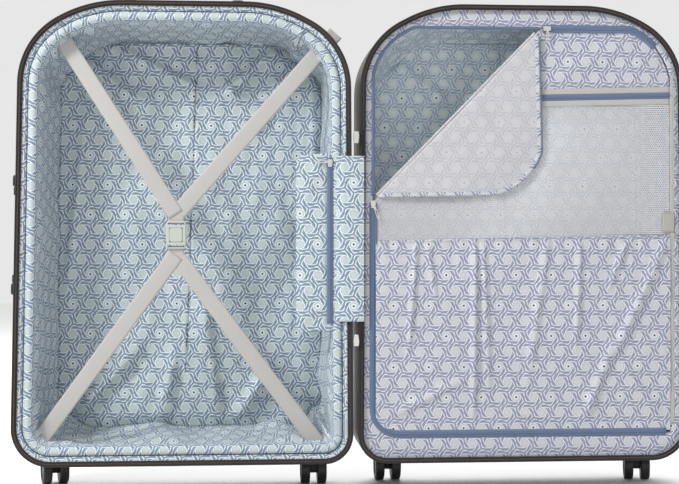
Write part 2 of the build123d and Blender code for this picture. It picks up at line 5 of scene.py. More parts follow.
import bpy
import numpy as np
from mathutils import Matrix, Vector


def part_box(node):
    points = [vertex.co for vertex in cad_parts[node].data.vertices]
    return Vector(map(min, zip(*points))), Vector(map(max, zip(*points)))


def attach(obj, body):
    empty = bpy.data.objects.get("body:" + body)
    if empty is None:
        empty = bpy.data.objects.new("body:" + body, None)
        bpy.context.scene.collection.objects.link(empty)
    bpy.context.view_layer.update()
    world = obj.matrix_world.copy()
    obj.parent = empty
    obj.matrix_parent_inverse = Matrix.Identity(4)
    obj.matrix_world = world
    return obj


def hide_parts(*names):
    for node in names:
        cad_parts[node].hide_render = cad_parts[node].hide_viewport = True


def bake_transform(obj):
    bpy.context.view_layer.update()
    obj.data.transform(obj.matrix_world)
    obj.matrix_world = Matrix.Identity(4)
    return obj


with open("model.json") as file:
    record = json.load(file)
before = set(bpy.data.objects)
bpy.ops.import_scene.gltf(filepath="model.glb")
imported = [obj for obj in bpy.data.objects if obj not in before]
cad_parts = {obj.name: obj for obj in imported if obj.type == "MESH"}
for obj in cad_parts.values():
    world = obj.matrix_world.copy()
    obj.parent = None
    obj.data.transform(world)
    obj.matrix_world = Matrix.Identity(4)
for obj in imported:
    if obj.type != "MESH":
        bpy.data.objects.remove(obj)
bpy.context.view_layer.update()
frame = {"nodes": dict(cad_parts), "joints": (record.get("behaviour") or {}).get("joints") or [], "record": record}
MM = 0.001

# ---- places taken from the frame ----
HINGE = next(j for j in frame["joints"] if j["name"] == "case_hinge")["pos_m"]
FOLD = next(j for j in frame["joints"] if j["name"] == "divider_corner_fold")
HX, RIM_Y = HINGE[0], HINGE[1] + 0.4 * MM
ZIP_LO, ZIP_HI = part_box("front_zip_tape")
GAP = ZIP_LO.x - HX
W = ZIP_HI.x - ZIP_LO.x + 1.4 * MM
Z0, H = ZIP_LO.z, ZIP_HI.z - ZIP_LO.z
REAR, FRONT = -1, 1


def at(side, u, d, z):
    """Point from its distance u from the hinge edge, depth d behind the rim and height z, in mm."""
    return np.array([HX + side * (GAP + u * MM), RIM_Y + d * MM, z * MM])


def at_many(side, u, d, z):
    u, d, z = np.broadcast_arrays(np.asarray(u, float), np.asarray(d, float), np.asarray(z, float))
    return np.stack([HX + side * (GAP + u * MM), RIM_Y + d * MM, z * MM], -1)


WM, Z0M, HM = W / MM, Z0 / MM, H / MM      # the same in mm


# ---- outlines ----
def rounded(points, radii, arc=14, line=12):
    """A closed path with rounded corners: the same number of samples for any size."""
    out, n = [], len(points)
    p = [np.array(q, float) for q in points]
    for i in range(n):
        a, b, c = p[i - 1], p[i], p[(i + 1) % n]
        u, v = (a - b) / np.linalg.norm(a - b), (c - b) / np.linalg.norm(c - b)
        half = math.acos(np.clip(u @ v, -1, 1)) / 2
        t = radii[i] / math.tan(half)
        s, e = b + u * t, b + v * t
        centre = b + (u + v) / np.linalg.norm(u + v) * radii[i] / math.sin(half)
        a0 = math.atan2(*(s - centre)[::-1])
        sweep = (math.atan2(*(e - centre)[::-1]) - a0 + math.pi) % (2 * math.pi) - math.pi
        for k in range(arc):
            g = a0 + sweep * k / (arc - 1)
            out.append(centre + radii[i] * np.array([math.cos(g), math.sin(g)]))
        nxt = p[(i + 2) % n]
        v2 = (nxt - c) / np.linalg.norm(nxt - c)
        half2 = math.acos(np.clip((-v) @ v2, -1, 1)) / 2
        end = c - v * radii[(i + 1) % n] / math.tan(half2)
        for k in range(1, line):
            out.append(e + (end - e) * k / line)
    return np.array(out)


OUT_POLY = [(0, 0), (WM, 0), (WM - 12, HM - 60), (WM - 120, HM), (120, HM), (4, HM - 60)]
OUT_RAD = [45, 60, 120, 200, 200, 120]


def rim_path(arc=22, line=22):
    """Outline of one half as (u, z) in mm, anticlockwise."""
    return rounded([(u, v + Z0M) for u, v in OUT_POLY], OUT_RAD, arc, line)


def inward(path):
    """Unit normals of a closed anticlockwise path, pointing inside."""
    t = np.roll(path, -1, 0) - np.roll(path, 1, 0)
    t /= np.maximum(np.linalg.norm(t, axis=1, keepdims=True), 1e-9)
    return np.stack([-t[:, 1], t[:, 0]], -1)


def lengths(path):
    """Running length along a closed path, one more value than its points."""
    return np.concatenate([[0], np.cumsum(np.linalg.norm(np.roll(path, -1, 0) - path, axis=1))])


def resample(path, step, closed=True):
    """Evenly spaced points along a path."""
    p = np.vstack([path, path[:1]]) if closed else path
    s = np.concatenate([[0], np.cumsum(np.linalg.norm(np.diff(p, axis=0), axis=1))])
    n = max(2, int(round(s[-1] / step)))
    t = np.linspace(0, s[-1], n + 1)[: n if closed else n + 1]
    return np.stack([np.interp(t, s, p[:, k]) for k in range(p.shape[1])], -1)


# ---- mesh helpers ----
def make(name, verts, faces, pat=None, smooth=True, extra=None):
    me = bpy.data.meshes.new(name)
    me.from_pydata([tuple(v) for v in np.asarray(verts, float)], [],
                   [tuple(int(i) for i in f) for f in faces])
    if smooth:
        me.polygons.foreach_set("use_smooth", [True] * len(me.polygons))
    for key, val in {"pat": pat, **(extra or {})}.items():
        if val is not None:
            v = np.zeros((len(verts), 3))
            v[:, : np.shape(val)[1]] = val
            me.attributes.new(key, "FLOAT_VECTOR", "POINT").data.foreach_set("vector", v.ravel())
    me.validate()
    me.update()
    ob = bpy.data.objects.new(name, me)
    bpy.context.scene.collection.objects.link(ob)
    return ob


def grid_faces(n, m, close=False, flip=False):
    """Quads of an n by m grid of points, closed round its first direction or not."""
    i, j = np.meshgrid(np.arange(n if close else n - 1), np.arange(m - 1), indexing="ij")
    a, b = i * m + j, ((i + 1) % n) * m + j
    f = np.stack([a, b, b + 1, a + 1], -1).reshape(-1, 4)
    return f[:, ::-1] if flip else f


def sheet_mesh(name, p, pat, close=False, flip=False):
    n, m = p.shape[:2]
    return make(name, p.reshape(-1, 3), grid_faces(n, m, close, flip), pat.reshape(-1, pat.shape[-1]))


def thicken(ob, t, offset=0.0):
    """Gives a sheet its thickness, in mm, as real faces."""
    mod = ob.modifiers.new("thick", "SOLIDIFY")
    mod.thickness, mod.offset = t * MM, offset
    apply(ob)
    return ob


def apply(ob):
    bpy.context.view_layer.update()
    deps = bpy.context.evaluated_depsgraph_get()
    me = bpy.data.meshes.new_from_object(ob.evaluated_get(deps), preserve_all_data_layers=True,
                                         depsgraph=deps)
    ob.modifiers.clear()
    ob.data = me
    return ob


def tape(name, path, width, d, side, t=0.9, closed=True, lift=None):
    """A flat tape that follows a path (u, z) at depth d."""
    p = resample(path, 4, closed)
    if closed:
        nrm = inward(p)
    else:
        tan = np.gradient(p, axis=0)
        tan /= np.linalg.norm(tan, axis=1, keepdims=True)
        nrm = np.stack([-tan[:, 1], tan[:, 0]], -1)
    s = np.concatenate([[0], np.cumsum(np.linalg.norm(np.diff(p, axis=0), axis=1))])
    across = np.linspace(-0.5, 0.5, 5) * width
    q = p[:, None, :] + nrm[:, None, :] * across[None, :, None]
    dd = np.broadcast_to(d if lift is None else d + lift(p)[:, None], q.shape[:2])
    verts = at_many(side, q[..., 0], dd, q[..., 1])
    pat = np.stack(np.broadcast_arrays(s[:, None] * MM, across[None, :] * MM), -1)
    ob = sheet_mesh(name, verts, pat, closed, side == REAR)
    return thicken(ob, t)


def coil(name, path, d, side, width=3.4, pitch=1.7, height=1.5, closed=False, keep=None):
    """Zip coil: a close row of rounded teeth along a path (u, z), standing off depth d towards the viewer."""
    p = resample(path, pitch, closed)
    tan = (np.roll(p, -1, 0) - np.roll(p, 1, 0)) if closed else np.gradient(p, axis=0)
    tan /= np.linalg.norm(tan, axis=1, keepdims=True)
    if keep is not None:
        m = keep(p)
        p, tan = p[m], tan[m]
    nrm = np.stack([-tan[:, 1], tan[:, 0]], -1)
    # one tooth: a loop of 8 points across, at both faces along the path
    a = np.linspace(0, 2 * np.pi, 8, endpoint=False) + np.pi / 8
    cross = np.stack([np.cos(a) * width / 2, np.sin(a) * height / 2], -1)
    verts = []
    for along, k in ((-0.36, 0.72), (0.0, 1.0), (0.36, 0.72)):
        c = p[:, None, :] + tan[:, None, :] * along * pitch + nrm[:, None, :] * (cross[None, :, :1] * k)
        dd = d - height / 2 - cross[None, :, 1] * k + np.zeros(c.shape[:2])
        verts.append(at_many(side, c[..., 0], dd, c[..., 1]))
    v = np.stack(verts, 1)                     # teeth, 3 loops, 8, xyz
    n = len(v)
    base = (np.arange(n) * 24)[:, None]
    faces = []
    for ring in (0, 1):
        for k in range(8):
            k2 = (k + 1) % 8
            low, high = ring * 8, ring * 8 + 8
            faces.append(base + np.array([[low + k, low + k2, high + k2, high + k]]))
    quads = np.vstack(faces)
    caps = [tuple(b + np.arange(7, -1, -1)) for b in base[:, 0]]
    caps += [tuple(b + 16 + np.arange(8)) for b in base[:, 0]]
    return make(name, v.reshape(-1, 3), [*quads.tolist(), *caps], pat=np.zeros((n * 24, 2)))


# ---- materials ----
class E:
    """Arithmetic on shader sockets."""

    def __init__(self, nt, s):
        self.nt, self.s = nt, s

    def m(self, op, *o, clamp=False):
        n = self.nt.nodes.new("ShaderNodeMath")
        n.operation, n.use_clamp = op, clamp
        for i, x in enumerate((self, *o)):
            if isinstance(x, E):
                self.nt.links.new(x.s, n.inputs[i])
            else:
                n.inputs[i].default_value = x
        return E(self.nt, n.outputs[0])

    def __add__(self, o): return self.m("ADD", o)
    __radd__ = __add__
    def __sub__(self, o): return self.m("SUBTRACT", o)
    def __rsub__(self, o): return (self * -1) + o
    def __mul__(self, o): return self.m("MULTIPLY", o)
    __rmul__ = __mul__
    def __truediv__(self, o): return self.m("DIVIDE", o)
    def abs(self): return self.m("ABSOLUTE")
    def mod(self, o): return self.m("FLOORED_MODULO", o)
    def lt(self, o): return self.m("LESS_THAN", o)
    def max(self, o): return self.m("MAXIMUM", o)
    def min(self, o): return self.m("MINIMUM", o)

    def step(self, lo, hi):
        """0 below lo and 1 above hi, smooth between."""
        n = self.nt.nodes.new("ShaderNodeMapRange")
        n.interpolation_type = "SMOOTHSTEP"
        self.nt.links.new(self.s, n.inputs[0])
        n.inputs[1].default_value, n.inputs[2].default_value = lo, hi
        return E(self.nt, n.outputs[0])


def new_mat(name, color, rough, **kw):
    m = bpy.data.materials.new(name)
    m.use_nodes = True
    b = m.node_tree.nodes["Principled BSDF"]
    b.inputs["Base Color"].default_value = (*color, 1)
    b.inputs["Roughness"].default_value = rough
    for k, v in kw.items():
        b.inputs[k.replace("_", " ")].default_value = v
    return m, m.node_tree, b


def noise_tex(nt, scale, detail=3, vec=None, rough=0.5):
    n = nt.nodes.new("ShaderNodeTexNoise")
    n.inputs["Scale"].default_value, n.inputs["Detail"].default_value = scale, detail
    n.inputs["Roughness"].default_value = rough
    if vec is None:
        c = nt.nodes.new("ShaderNodeTexCoord")
        vec = c.outputs["Object"]
    nt.links.new(vec, n.inputs["Vector"])
    return E(nt, n.outputs["Fac"])


def mix(nt, fac, a, b):
    n = nt.nodes.new("ShaderNodeMix")
    n.data_type = "RGBA"
    if isinstance(fac, E):
        nt.links.new(fac.s, n.inputs[0])
    else:
        n.inputs[0].default_value = fac
    for s, x in ((n.inputs[6], a), (n.inputs[7], b)):
        if isinstance(x, tuple):
            s.default_value = (*x, 1)
        else:
            nt.links.new(x, s)
    return n.outputs[2]


def bump(nt, b, height, strength, dist):
    n = nt.nodes.new("ShaderNodeBump")
    n.inputs["Strength"].default_value, n.inputs["Distance"].default_value = strength, dist
    nt.links.new(height.s, n.inputs["Height"])
    nt.links.new(n.outputs[0], b.inputs["Normal"])


def pat_xy(nt, scale=1.0, turn=0.0):
    """The cloth's own coordinates, in units of scale metres."""
    a = nt.nodes.new("ShaderNodeAttribute")
    a.attribute_name = "pat"
    sep = nt.nodes.new("ShaderNodeSeparateXYZ")
    nt.links.new(a.outputs["Vector"], sep.inputs[0])
    x, y = E(nt, sep.outputs[0]) * (1 / scale), E(nt, sep.outputs[1]) * (1 / scale)
    if turn:
        c, s = math.cos(turn), math.sin(turn)
        x, y = x * c - y * s, x * s + y * c
    return x, y


def hex_local(x, y):
    """Coordinates inside the nearest cell of a hexagonal lattice of pitch 1."""
    r3 = math.sqrt(3)
    ax, ay = (x.mod(1.0) - 0.5), (y.mod(r3) - r3 / 2)
    bx, by = ((x - 0.5).mod(1.0) - 0.5), ((y - r3 / 2).mod(r3) - r3 / 2)
    near = (ax * ax + ay * ay).lt(bx * bx + by * by)
    return bx + (ax - bx) * near, by + (ay - by) * near


def weave(x, y, per_mm):
    """Height of a plain weave, from cloth coordinates in metres."""
    k = per_mm * math.pi / MM
    return ((x * k).m("SINE").abs() * (y * k).m("SINE").abs())


def print_mat(name, ground, pale, line, centre, reverse=False, pitch=0.0278):
    """Thin woven lining with a small print of turning hexagons."""
    m, nt, b = new_mat(name, pale, 0.82, Sheen_Weight=0.15)
    x, y = pat_xy(nt, pitch)
    qx, qy = hex_local(x, y)
    h = (qx.abs()).max((qx * 0.5 + qy * 0.866).abs()).max((qx * 0.5 - qy * 0.866).abs())
    ang = qy.m("ARCTAN2", qx) * (6 / (2 * math.pi))
    arm = (ang + h * 4.6 + 0.1).mod(1.0)
    dist = (arm - 0.5).abs()                      # 0 in a pale arm's middle, 0.5 in a dark one's
    white = 1 - dist.step(0.16, 0.22)
    lines = (1 - (dist - 0.22).abs().step(0.03, 0.09)).max(1 - (h - 0.2).abs().step(0.008, 0.03))
    lines = lines.max(1 - (dist - 0.46).abs().step(0.02, 0.07))
    core = 1 - h.step(0.185, 0.2)
    ring = (1 - (h - 0.235).abs().step(0.02, 0.035))
    dx, dy = hex_local(x * 0.5, y * 0.5)
    rr = (dx * dx + dy * dy).m("SQRT") * 2
    dot, halo = 1 - rr.step(0.045, 0.075), 1 - rr.step(0.13, 0.16)
    soft = noise_tex(nt, 9, 3)
    col = mix(nt, white, ground, pale)
    col = mix(nt, lines * 0.85, col, line)
    col = mix(nt, ring, col, pale)
    col = mix(nt, core, col, centre)
    col = mix(nt, halo, col, pale)
    col = mix(nt, dot, col, tuple(c * 0.12 for c in line))
    if reverse:
        col = mix(nt, 0.66, col, tuple((a + c) / 2 for a, c in zip(pale, centre)))
    col = mix(nt, soft.step(0.3, 0.8) * 0.10, col, tuple(c * 0.8 for c in ground))
    nt.links.new(col, b.inputs["Base Color"])
    px, py = pat_xy(nt)
    bump(nt, b, weave(px, py, 1.1) * 0.6 + noise_tex(nt, 160, 2) * 0.8, 0.35, 0.0004)
    return m


def cloth_mat(name, color, per_mm=0.8, dark=0.7, rough=0.9, var=0.15, strength=0.5):
    """Plain woven cloth or webbing."""
    m, nt, b = new_mat(name, color, rough, Sheen_Weight=0.1)
    px, py = pat_xy(nt)
    w = weave(px, py, per_mm)
    n = noise_tex(nt, 60, 4)
    # the weave's low parts between the threads take the darker colour: painted shade in the gaps of the weave
    col = mix(nt, w.step(0.0, 0.5), tuple(c * dark for c in color), color)
    col = mix(nt, n.step(0.35, 0.75) * var, col, tuple(c * 0.6 for c in color))
    nt.links.new(col, b.inputs["Base Color"])
    bump(nt, b, w + n * 0.5, strength, 0.0004)
    return m


def plastic(name, color, rough, grain=2200, strength=0.15, var=0.12, coat=0.0, speck=None):
    """Moulded plastic with a fine eroded grain and faint wear."""
    m, nt, b = new_mat(name, color, rough, Coat_Weight=coat, Coat_Roughness=0.25)
    fine, broad = noise_tex(nt, grain, 2), noise_tex(nt, 14, 4)
    worn = speck or tuple(min(1, c * 1.9 + 0.01) for c in color)
    nt.links.new(mix(nt, broad.step(0.35, 0.75) * var, color, worn), b.inputs["Base Color"])
    r = broad * 0.16 + fine * 0.08 + (rough - 0.12)
    nt.links.new(r.s, b.inputs["Roughness"])
    bump(nt, b, fine, strength, 0.0002)
    return m


def metal(name, color, rough, brushed=True):
    m, nt, b = new_mat(name, color, rough, Metallic=1.0)
    c = nt.nodes.new("ShaderNodeTexCoord")
    mp = nt.nodes.new("ShaderNodeMapping")
    mp.inputs["Scale"].default_value = (1, 1, 0.02) if brushed else (1, 1, 1)
    nt.links.new(c.outputs["Object"], mp.inputs[0])
    n = noise_tex(nt, 900, 3, mp.outputs[0])
    dull = tuple(k * 0.7 for k in color)
    nt.links.new(mix(nt, n.step(0.3, 0.7) * 0.25, color, dull), b.inputs["Base Color"])
    nt.links.new((n * 0.18 + (rough - 0.08)).s, b.inputs["Roughness"])
    bump(nt, b, n, 0.1, 0.0001)
    return m


COOL = print_mat("print_cool", (0.24, 0.31, 0.37), (0.63, 0.69, 0.73), (0.09, 0.13, 0.19), (0.45, 0.51, 0.50))
# A much paler copy of the lining print for the front half: painted light that lifts the front lining out of the
# shade it lies in.
LIT = print_mat("print_painted_lit", (0.66, 0.79, 0.88), (0.93, 0.97, 1.0), (0.20, 0.28, 0.36), (0.84, 0.90, 0.88))
WARM = print_mat("print_warm", (0.32, 0.34, 0.41), (0.62, 0.63, 0.68), (0.13, 0.15, 0.23), (0.50, 0.51, 0.53))
BACK = print_mat("print_reverse", (0.30, 0.31, 0.38), (0.53, 0.53, 0.55), (0.16, 0.18, 0.26),
                 (0.48, 0.47, 0.49), reverse=True)
WEB = cloth_mat("webbing", (0.45, 0.44, 0.42), 0.55, 0.80, 0.85, 0.06, 0.6)
TAPE = cloth_mat("rim_tape", (0.016, 0.012, 0.010), 0.9, 0.6, 0.8, 0.2)
BLUE = cloth_mat("blue_tape", (0.15, 0.20, 0.30), 0.9, 0.65, 0.8, 0.15)
BIND = cloth_mat("binding", (0.48, 0.465, 0.44), 0.7, 0.75, 0.9, 0.1)
MESH = cloth_mat("net_yarn", (0.64, 0.64, 0.67), 1.2, 0.9, 0.9, 0.05, 0.3)
DARK_COIL = plastic("rim_coil", (0.060, 0.042, 0.033), 0.45, 1500, 0.1)
BLUE_COIL = plastic("blue_coil", (0.115, 0.18, 0.34), 0.4, 1500, 0.1)
SHELL = plastic("shell_plastic", (0.011, 0.008, 0.007), 0.42, 1800, 0.22, 0.12, 0.12)
BLACK = plastic("black_plastic", (0.014, 0.014, 0.015), 0.45, 1500, 0.25, 0.15)
WHEEL = plastic("wheel_rubber", (0.013, 0.013, 0.015), 0.5, 1000, 0.3, 0.3, speck=(0.05, 0.05, 0.055))
BUCKLE = plastic("buckle_plastic", (0.42, 0.45, 0.40), 0.42, 1300, 0.12, 0.06, speck=(0.36, 0.39, 0.34))
ALU = metal("drawn_tube", (0.62, 0.63, 0.65), 0.32)
SILVER = metal("plated_pull", (0.80, 0.78, 0.74), 0.3, False)
THREAD = cloth_mat("thread", (0.45, 0.47, 0.52), 3, 0.8, 0.9, 0.1)

SLOT_MAT = {"shell": SHELL, "zip_tape": TAPE, "print_cool": COOL, "print_warm": WARM, "webbing": WEB,
            "buckle": BUCKLE, "blue_zip": BLUE, "mesh": MESH, "binding": BIND, "black_plastic": BLACK,
            "wheel": WHEEL, "aluminium": ALU, "bright": SILVER}
NODE_SLOT = {s["node"]: s["material_slot"] for s in frame["record"]["subparts"]}
for node, ob in frame["nodes"].items():
    if ob.material_slots:
        for s in ob.material_slots:
            s.material = SLOT_MAT[NODE_SLOT[node]]
    else:
        ob.data.materials.append(SLOT_MAT[NODE_SLOT[node]])


def finish_piece(ob, material, body=None, replaces=()):
    ob.data.materials.clear()
    ob.data.materials.append(material)
    if replaces:
        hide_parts(*replaces)
    if body:
        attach(ob, body)
    return ob


def cad_size(*nodes):
    """Size in metres of the CAD pieces' common box: x, y, z."""
    boxes = [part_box(n) for n in nodes]
    return [max(b[1][i] for b in boxes) - min(b[0][i] for b in boxes) for i in range(3)]


def cloth(width, length, share=1.0):
    """Works out the area of a sheet from the size it was cut to, which is never measured back from the mesh, and
    does not keep it.
    share is the part of that rectangle that the cut fills."""
    width * length * share


# ---- noise for cloth ----
def waves(p, scale, seed, octaves=3):
    """Smooth noise in -1..1 at points, as a sum of turned sine waves."""
    r = np.random.RandomState(seed)
    out, amp = np.zeros(p.shape[:-1]), 0
    for o in range(octaves):
        for _ in range(4):
            v = r.normal(size=p.shape[-1])
            v *= 2 * math.pi / (scale / 2 ** o) / np.linalg.norm(v)
            out += np.sin(p @ v + r.uniform(0, 6.28)) * 0.6 ** o
        amp += 2 * 0.6 ** o
    return out / amp


def crease(p, a, b, width, height, taper=0.25):
    """A fold along the line a-b: height falls off across it and towards its ends. p is (..., 2)."""
    a, b = np.array(a, float), np.array(b, float)
    L = np.linalg.norm(b - a)
    t = (b - a) / L
    r = p - a
    s, q = r @ t / L, r @ np.array([-t[1], t[0]])
    end = np.clip(np.minimum(s + taper, 1 + taper - s) / (2 * taper), 0, 1)
    end = end * end * (3 - 2 * end)
    return height * np.exp(-(q / width) ** 2) * end


# ---- rim zips: tape round each half, wide flange and coil ----
RIM = rim_path()
ZONE_LO, ZONE_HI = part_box("main_slider_lower")[1].z / MM + 1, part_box("main_slider_upper")[0].z / MM - 1


def band_points(side, inset, d):
    """Points of the rim outline at an inset and depth, both in mm and each a number or one value a sample."""
    p = RIM + inward(RIM) * np.reshape(inset, (-1, 1))
    return at_many(side, p[:, 0], d, p[:, 1])


def rim_zip(side, node, body):
    """The zip tape sewn to the rim, with a rolled edge outside and the coil towards the opening."""
    profile = [(0.1, 5.3), (0.0, 3.4), (0.3, 1.4), (1.2, 0.35), (2.2, 0.5), (2.9, 1.5), (3.6, 2.6), (5.6, 2.9),
               (7.0, 3.0), (8.5, 3.6), (8.6, 5.0), (6.0, 5.3), (3.0, 5.4)]
    s = lengths(RIM)[:-1]
    rows = [band_points(side, i, d) for i, d in profile]
    q = np.stack([*rows, rows[0]], 1)
    across = np.cumsum([0] + [math.dist(a, b) for a, b in zip(profile, profile[1:] + profile[:1])])
    pat = np.stack(np.broadcast_arrays(s[:, None] * MM, across[None] * MM), -1)
    ob = sheet_mesh(f"{body}_rim_tape", q, pat, True, side == FRONT)
    return finish_piece(ob, TAPE, body, [node])


def rim_coil(side, body):
    path = RIM + inward(RIM) * 4.4
    free = lambda p: ~((p[:, 0] < 30) & (p[:, 1] > ZONE_LO - 22) & (p[:, 1] < ZONE_HI + 22))
    ob = coil(f"{body}_rim_coil", path, 2.8, side, width=3.6, pitch=2.0, height=1.7, closed=True, keep=free)
    return finish_piece(ob, DARK_COIL, body)


for side, half in ((REAR, "rear"), (FRONT, "front")):
    rim_zip(side, f"{half}_zip_tape", f"{half}_half")
    rim_coil(side, f"{half}_half")


# ---- linings ----
def smooth(t):
    t = np.clip(t, 0, 1)
    return t * t * (3 - 2 * t)


def corner_weight(p, reach=130):
    """1 in the corners of a half, falling to 0 along its straight sides. p is (..., 2)."""
    du = np.minimum(p[..., 0], WM - p[..., 0]) / reach
    dz = np.minimum(p[..., 1] - Z0M, Z0M + HM - p[..., 1]) / reach
    return np.exp(-(np.maximum(du, 0) ** 2 + np.maximum(dz, 0) ** 2) * 0.8)


CUPS = [(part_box(f"caster_{i}_housing")[0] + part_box(f"caster_{i}_housing")[1]) / 2 for i in (1, 2, 3, 4)]
CUP_R, CUP_TOP = 43.0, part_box("caster_1_housing")[1].z + 3.2 * MM
BEZ_LO, BEZ_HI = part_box("trolley_bezel")


def clear_of_parts(p, side):
    """Lifts points (..., 3) off the caster cups and the trolley bezel that reach into a shell."""
    q = p.copy()
    for c in CUPS:
        if (c.x < HX) == (side == REAR):
            lift = smooth((CUP_R + 18 - np.hypot(q[..., 0] - c.x, q[..., 1] - c.y) / MM) / 18)
            q[..., 2] += np.maximum(CUP_TOP - q[..., 2], 0) * lift
    if side == REAR:
        m = 14 * MM
        near = smooth((q[..., 0] - BEZ_LO.x + m) / m) * smooth((BEZ_HI.x + m - q[..., 0]) / m) \
            * smooth((q[..., 1] - BEZ_LO.y + m) / m)
        q[..., 2] -= np.maximum(q[..., 2] - (BEZ_LO.z - 2.5 * MM), 0) * near
    return q


def spine_u(mid, z):
    """The line down the middle of a back panel, a little off upright."""
    return mid - 0.035 * (z - 400)


def lining(side, name, node, body, material, edge, back_poly, back_rad, back_d, folds, seed):
    """One half's lining: edge is a profile of (inset, depth) round the rim. The walls run on to the back."""
    pr = np.array(edge, float)
    s = np.concatenate([[0], np.cumsum(np.linalg.norm(np.diff(pr, axis=0), axis=1))])
    t = np.linspace(0, s[-1], int(s[-1] / 1.6) + 1)
    ins, dep = np.interp(t, s, pr[:, 0]), np.interp(t, s, pr[:, 1])
    run, nrm = lengths(RIM)[:-1], inward(RIM)
    loops = [(RIM + nrm * i, np.full(len(RIM), d), np.full(len(RIM), a)) for i, d, a in zip(ins, dep, t)]
    last, foot = loops[-1][0], rounded(back_poly, back_rad, 22, 22)
    wall = 40
    for k in range(1, wall + 1):
        w = k / wall
        # walls start steep under the padded edge and round into the back panel
        pos = last + (foot - last) * (0.55 * w + 0.45 * smooth(w) * w)
        loops.append((pos, np.full(len(RIM), dep[-1] + (back_d - dep[-1]) * math.sin(w * math.pi / 2) ** 0.86),
                      np.full(len(RIM), t[-1] + w * (back_d - dep[-1]))))
    mid = foot.mean(0)
    spine = np.stack([foot[:, 0], np.clip(foot[:, 1], mid[1] - 290, mid[1] + 290)], -1)
    spine[:, 0] = spine_u(mid[0], spine[:, 1])
    rows = 44
    for k in range(1, rows + 1):
        w = k / rows
        loops.append((foot + (spine - foot) * w, np.full(len(RIM), back_d), np.full(len(RIM), 0.0)))
    p2 = np.stack([a for a, _, _ in loops], 1)
    d = np.stack([a for _, a, _ in loops], 1)
    along = np.stack([a for _, _, a in loops], 1)
    n_edge, n_wall = len(t), wall
    row = np.arange(p2.shape[1])[None]
    on_wall = smooth((row - n_edge + 2) / 6) * smooth((n_edge + n_wall - row + 4) / 10)
    on_back = smooth((row - n_edge - n_wall + 4) / 10)
    cw = corner_weight(RIM, 120)[:, None]
    drift = waves(np.stack([run, run * 0], -1), 260, seed)[:, None]
    wave = np.sin(run[:, None] / 15 + 3.0 * drift) * 0.5 + 0.5
    push = on_wall * (folds * cw * wave ** 2 + 6.5 * waves(p2, 130, seed + 1, 4))
    inner = mid + (p2 - mid) * (1 - push[..., None] / 300)
    d = d - on_back * (6 * (1 + waves(p2, 150, seed + 2, 4)) + DRAPE[side](p2)) \
        - on_wall * 1.2 * waves(p2, 90, seed + 3)
    edge_wave = (row < n_edge) * (row > 3) * waves(np.stack([run, run * 0], -1), 70, seed + 5)[:, None]
    d = d - 0.7 * edge_wave
    pts = clear_of_parts(at_many(side, inner[..., 0], d, inner[..., 1]), side)
    wall_pat = np.stack([np.repeat(run[:, None], p2.shape[1], 1), along], -1) * MM
    back_pat = np.stack([side * p2[..., 0], p2[..., 1]], -1) * MM
    first_back = n_edge + n_wall - 1
    n = len(RIM)
    walls = slice(None, first_back + 1)
    ob_a = sheet_mesh(f"{name}_walls", pts[:, walls], wall_pat[:, walls], True, side == FRONT)
    ob_b = sheet_mesh(f"{name}_back", pts[:, first_back:], back_pat[:, first_back:], True, side == FRONT)
    for ob in (ob_a, ob_b):
        thicken(ob, 0.9, 0)
    finish_piece(ob_a, material, body, [node])
    finish_piece(ob_b, material, body)
    sx, sy, sz = cad_size(node)
    run = 2 * (sx + sz) - (8 - 2 * math.pi) * 0.09         # round the rim, with corners of 90 mm
    cloth(sy + 0.02, run)
    cloth(sx - 0.06, sz - 0.06, 0.98)
    return n


def rear_drape(p):
    """Folds of the rear back panel: sag at the foot and diagonals from the corners."""
    lines = [((60, 130), (215, 235), 9, 17), ((212, 96), (236, 300), 9, 17), ((440, 110), (330, 230), 10, 17),
             ((300, 96), (285, 200), 8, 14), ((180, 100), (120, 200), 9, 13),
             ((430, 690), (310, 585), 11, 17), ((370, 700), (250, 640), 9, 13),
             ((70, 690), (160, 590), 10, 17), ((120, 700), (210, 620), 9, 13),
             ((370, 590), (250, 500), 12, 12), ((90, 520), (200, 640), 10, 13),
             ((60, 330), (110, 420), 10, 12), ((455, 300), (425, 560), 8, 13),
             ((48, 300), (56, 640), 7, 10), ((240, 500), (180, 380), 14, 9)]
    return sum(crease(p, *line) for line in lines)


def front_drape(p):
    return crease(p, (60, 690), (180, 600), 12, 14) + crease(p, (40, 560), (140, 500), 12, 13)


DRAPE = {REAR: rear_drape, FRONT: front_drape}
EDGE = [(4.4, 5.7), (7, 6.0), (12, 6.8), (15.4, 8.6), (16.4, 11.0), (17.4, 8.6), (20, 5.4), (25, 4.8),
        (29, 7.0), (31.5, 12), (32.5, 19)]
lining(REAR, "rear_lining_cloth", "rear_lining", "rear_half", COOL, EDGE,
       [(42, 92), (470, 92), (466, 650), (400, 710), (110, 710), (42, 650)], [50, 60, 60, 80, 80, 60], 127,
       11, 21)
# the front lining takes the paler print: painted light against the shade in the front half
lining(FRONT, "front_lining_cloth", "front_lining", "front_half", LIT,
       [(4.4, 5.7), (6, 9), (9, 16), (12, 24)],
       [(38, 86), (486, 86), (478, 650), (410, 716), (110, 716), (38, 650)], [50, 60, 60, 80, 80, 60], 140,
       8, 41)


